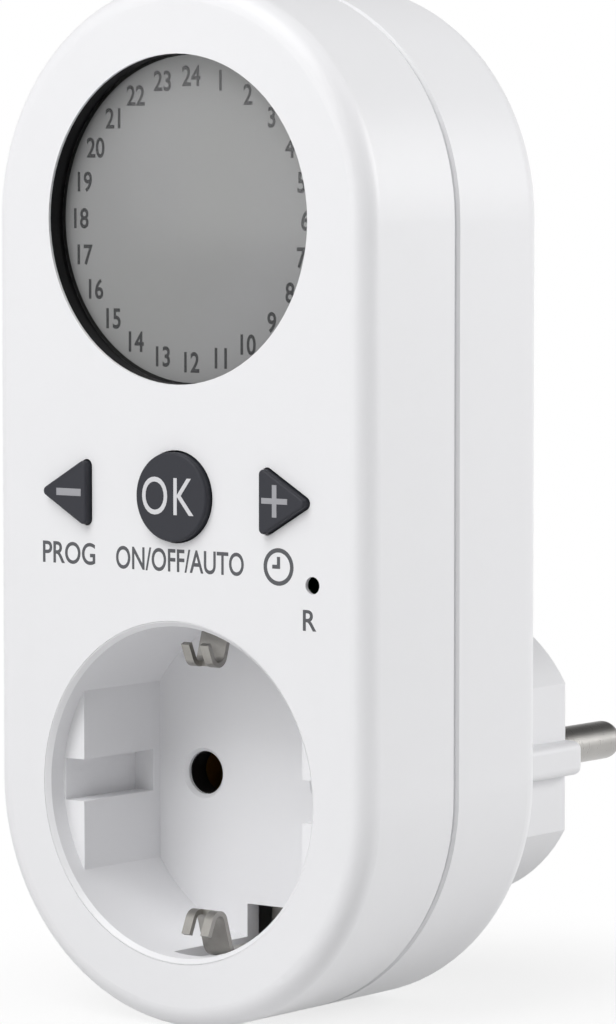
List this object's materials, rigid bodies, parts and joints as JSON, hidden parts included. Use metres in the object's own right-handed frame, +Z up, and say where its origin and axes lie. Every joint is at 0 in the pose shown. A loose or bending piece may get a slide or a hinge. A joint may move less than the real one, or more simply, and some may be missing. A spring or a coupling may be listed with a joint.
{
  "type": "plug in timer switch",
  "caption": "Upright rounded housing with a plug on its back and, on its front, a round display, setting keys and a switched earthed socket outlet.",
  "frame": {"origin": "middle of the plug's pin face, between the two pins", "axes": "+X to the right seen from the front, +Y into the wall along the pins, +Z up"},
  "size_m": [0.0552, 0.0772, 0.1217],
  "materials": {
    "housing_plastic": "fine matt moulded, satin sheen",
    "key_plastic": "satin moulded",
    "bezel_plastic": "satin moulded",
    "window": "polished clear acrylic",
    "lcd": "liquid crystal cell under a polariser",
    "zebra_rubber": "striped conductive silicone",
    "circuit_board": "solder mask on glass epoxy",
    "black_epoxy": "poured epoxy",
    "steel": "bright zinc plated",
    "switch_plastic": "moulded",
    "relay_case": "moulded",
    "capacitor_case": "moulded",
    "capacitor_sleeve": "shrunk sleeve",
    "phenolic": "pressed",
    "varistor_coat": "dipped epoxy",
    "contact_brass": "stamped",
    "pin_metal": "nickel plated, satin",
    "tinned_steel": "tinned spring steel, dull"
  },
  "bodies": {
    "housing": {"front_cover": "housing_plastic", "rear_cover": "housing_plastic", "socket_insert": "housing_plastic", "contact_carrier": "phenolic", "display_bezel": "bezel_plastic", "display_lens": "window", "lcd_cell": "lcd", "zebra_strips": "zebra_rubber", "switch_bodies": "switch_plastic", "control_board": "circuit_board", "controller_chip": "black_epoxy", "clock_crystal": "steel", "backup_cell": "steel", "housing_screws": "steel", "control_board_screws": "steel", "power_board": "circuit_board", "power_board_screws": "steel", "relay": "relay_case", "film_capacitor": "capacitor_case", "rectifier_diodes": "black_epoxy", "electrolytic_capacitor": "capacitor_sleeve", "varistor": "varistor_coat", "link_headers": "switch_plastic", "link_pins": "contact_brass", "neutral_pin": "pin_metal", "live_pin": "pin_metal", "neutral_contact": "contact_brass", "live_contact": "contact_brass", "neutral_busbar": "contact_brass", "live_busbar": "contact_brass", "earth_strip_top": "tinned_steel", "earth_strip_bottom": "tinned_steel", "earth_bridge": "tinned_steel"},
    "minus_key": {"minus_button": "key_plastic", "minus_plunger": "switch_plastic"},
    "ok_key": {"ok_button": "key_plastic", "ok_plunger": "switch_plastic"},
    "plus_key": {"plus_button": "key_plastic", "plus_plunger": "switch_plastic"},
    "reset_key": {"reset_plunger": "switch_plastic"}
  },
  "joints": [
    {"name": "minus_press", "type": "slide", "parent": "housing", "child": "minus_key", "axis": [0, 1, 0], "range_m": [0, 0.0005], "stiffness_N_per_m": 2400, "springref_m": -0.0001},
    {"name": "ok_press", "type": "slide", "parent": "housing", "child": "ok_key", "axis": [0, 1, 0], "range_m": [0, 0.0005], "stiffness_N_per_m": 2400, "springref_m": -0.0001},
    {"name": "plus_press", "type": "slide", "parent": "housing", "child": "plus_key", "axis": [0, 1, 0], "range_m": [0, 0.0005], "stiffness_N_per_m": 2400, "springref_m": -0.0001},
    {"name": "reset_press", "type": "slide", "parent": "housing", "child": "reset_key", "axis": [0, 1, 0], "range_m": [0, 0.0005], "stiffness_N_per_m": 2400, "springref_m": -0.0001}
  ]
}
